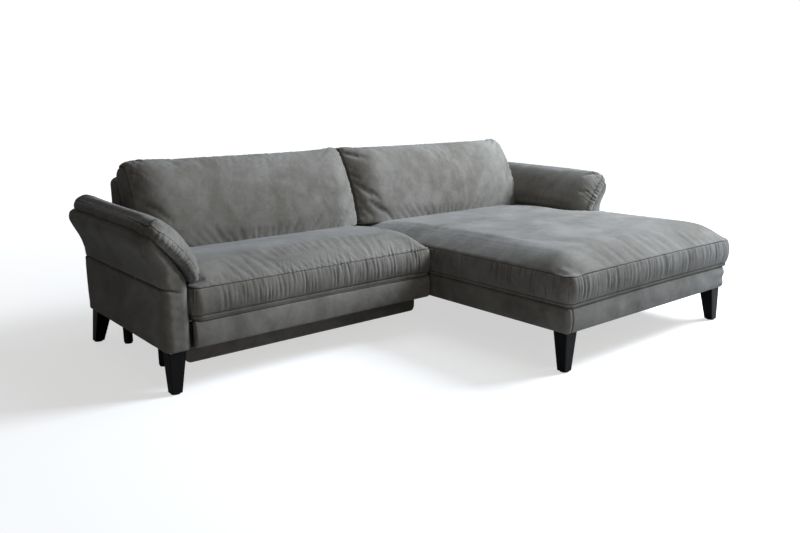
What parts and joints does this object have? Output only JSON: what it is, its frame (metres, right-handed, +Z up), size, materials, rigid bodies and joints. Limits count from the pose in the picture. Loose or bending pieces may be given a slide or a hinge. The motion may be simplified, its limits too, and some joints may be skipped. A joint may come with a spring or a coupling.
{
  "type": "corner sofa",
  "caption": "Corner sofa of a seat unit with pull-out bed and a chaise unit, with tilting padded arms, loose back cushions and tapered black legs.",
  "frame": {"origin": "on the floor, at the middle of the sofa's outline in X and Y", "axes": "+X to the right as seen from the front, along the longest extent; +Y to the back; +Z up"},
  "size_m": [2.7442, 1.711, 0.8311],
  "materials": {
    "upholstery": "mottled grey microfibre suede",
    "timber": "sawn beech and plywood, unfinished",
    "black_wood": "satin black lacquer",
    "spring_steel": "dark drawn wire",
    "zinc_steel": "zinc plated",
    "black_metal": "black powder coat",
    "nylon": "natural nylon",
    "black_plastic": "moulded, satin",
    "felt": "needled felt",
    "lining": "black non-woven cloth",
    "mattress_cover": "plain grey cover"
  },
  "bodies": {
    "sofa_frame": {"arm_bolts": "zinc_steel", "back_posts": "timber", "back_top_rails": "timber", "chaise_back": "upholstery", "chaise_cross_rails": "timber", "chaise_cushion": "upholstery", "chaise_front_panel": "upholstery", "chaise_left_panel": "upholstery", "chaise_lining": "lining", "chaise_right_panel": "upholstery", "chaise_side_rails": "timber", "chaise_springs": "spring_steel", "deck_felts": "felt", "frame_screws": "zinc_steel", "front_legs": "black_wood", "glides": "black_plastic", "left_arm_cover": "upholstery", "left_arm_frame": "timber", "left_back_cushion": "upholstery", "leg_bolts": "zinc_steel", "leg_plates": "zinc_steel", "pullout_tracks": "zinc_steel", "ratchet_pins": "zinc_steel", "ratchet_plates": "zinc_steel", "rear_legs": "black_wood", "right_arm_cover": "upholstery", "right_arm_frame": "timber", "right_back_cushion": "upholstery", "seat_back": "upholstery", "seat_cross_rails": "timber", "seat_cushion": "upholstery", "seat_side_rails": "timber", "seat_springs": "spring_steel", "spring_clips": "nylon", "support_feet": "black_wood", "unit_link_plates": "zinc_steel"},
    "left_arm": {"left_arm_flap": "upholstery", "left_arm_pad": "upholstery", "left_flap_frame": "timber", "left_ratchet_arms": "zinc_steel", "left_flap_screws": "zinc_steel"},
    "right_arm": {"right_arm_flap": "upholstery", "right_arm_pad": "upholstery", "right_flap_frame": "timber", "right_ratchet_arms": "zinc_steel", "right_flap_screws": "zinc_steel"},
    "pullout": {"pullout_front_panel": "upholstery", "pullout_plinth": "upholstery", "pullout_shelf": "upholstery", "pullout_side_boards": "timber", "pullout_battens": "timber", "pullout_slats": "timber", "bed_pad": "mattress_cover", "pullout_sliders": "nylon", "wheel_forks": "black_metal", "wheel_axles": "zinc_steel"},
    "front_left_wheel_body": {"front_left_wheel": "black_plastic"},
    "front_right_wheel_body": {"front_right_wheel": "black_plastic"},
    "rear_left_wheel_body": {"rear_left_wheel": "black_plastic"},
    "rear_right_wheel_body": {"rear_right_wheel": "black_plastic"}
  },
  "joints": [
    {"name": "left_arm_tilt", "type": "hinge", "parent": "sofa_frame", "child": "left_arm", "pos_m": [-1.284, -0.0395, 0.4182], "axis": [0, -1, 0], "range_deg": [0, 45]},
    {"name": "right_arm_tilt", "type": "hinge", "parent": "sofa_frame", "child": "right_arm", "pos_m": [1.284, -0.0395, 0.4182], "axis": [0, 1, 0], "range_deg": [0, 45]},
    {"name": "pullout_slide", "type": "slide", "parent": "sofa_frame", "child": "pullout", "axis": [0, -1, 0], "range_m": [0, 0.56]},
    {"name": "front_left_wheel_spin", "type": "hinge", "parent": "pullout", "child": "front_left_wheel_body", "pos_m": [-0.9, 0.2935, 0.022], "axis": [1, 0, 0], "continuous": true},
    {"name": "front_right_wheel_spin", "type": "hinge", "parent": "pullout", "child": "front_right_wheel_body", "pos_m": [-0.3, 0.2935, 0.022], "axis": [1, 0, 0], "continuous": true},
    {"name": "rear_left_wheel_spin", "type": "hinge", "parent": "pullout", "child": "rear_left_wheel_body", "pos_m": [-0.9, 0.6935, 0.022], "axis": [1, 0, 0], "continuous": true},
    {"name": "rear_right_wheel_spin", "type": "hinge", "parent": "pullout", "child": "rear_right_wheel_body", "pos_m": [-0.3, 0.6935, 0.022], "axis": [1, 0, 0], "continuous": true}
  ]
}
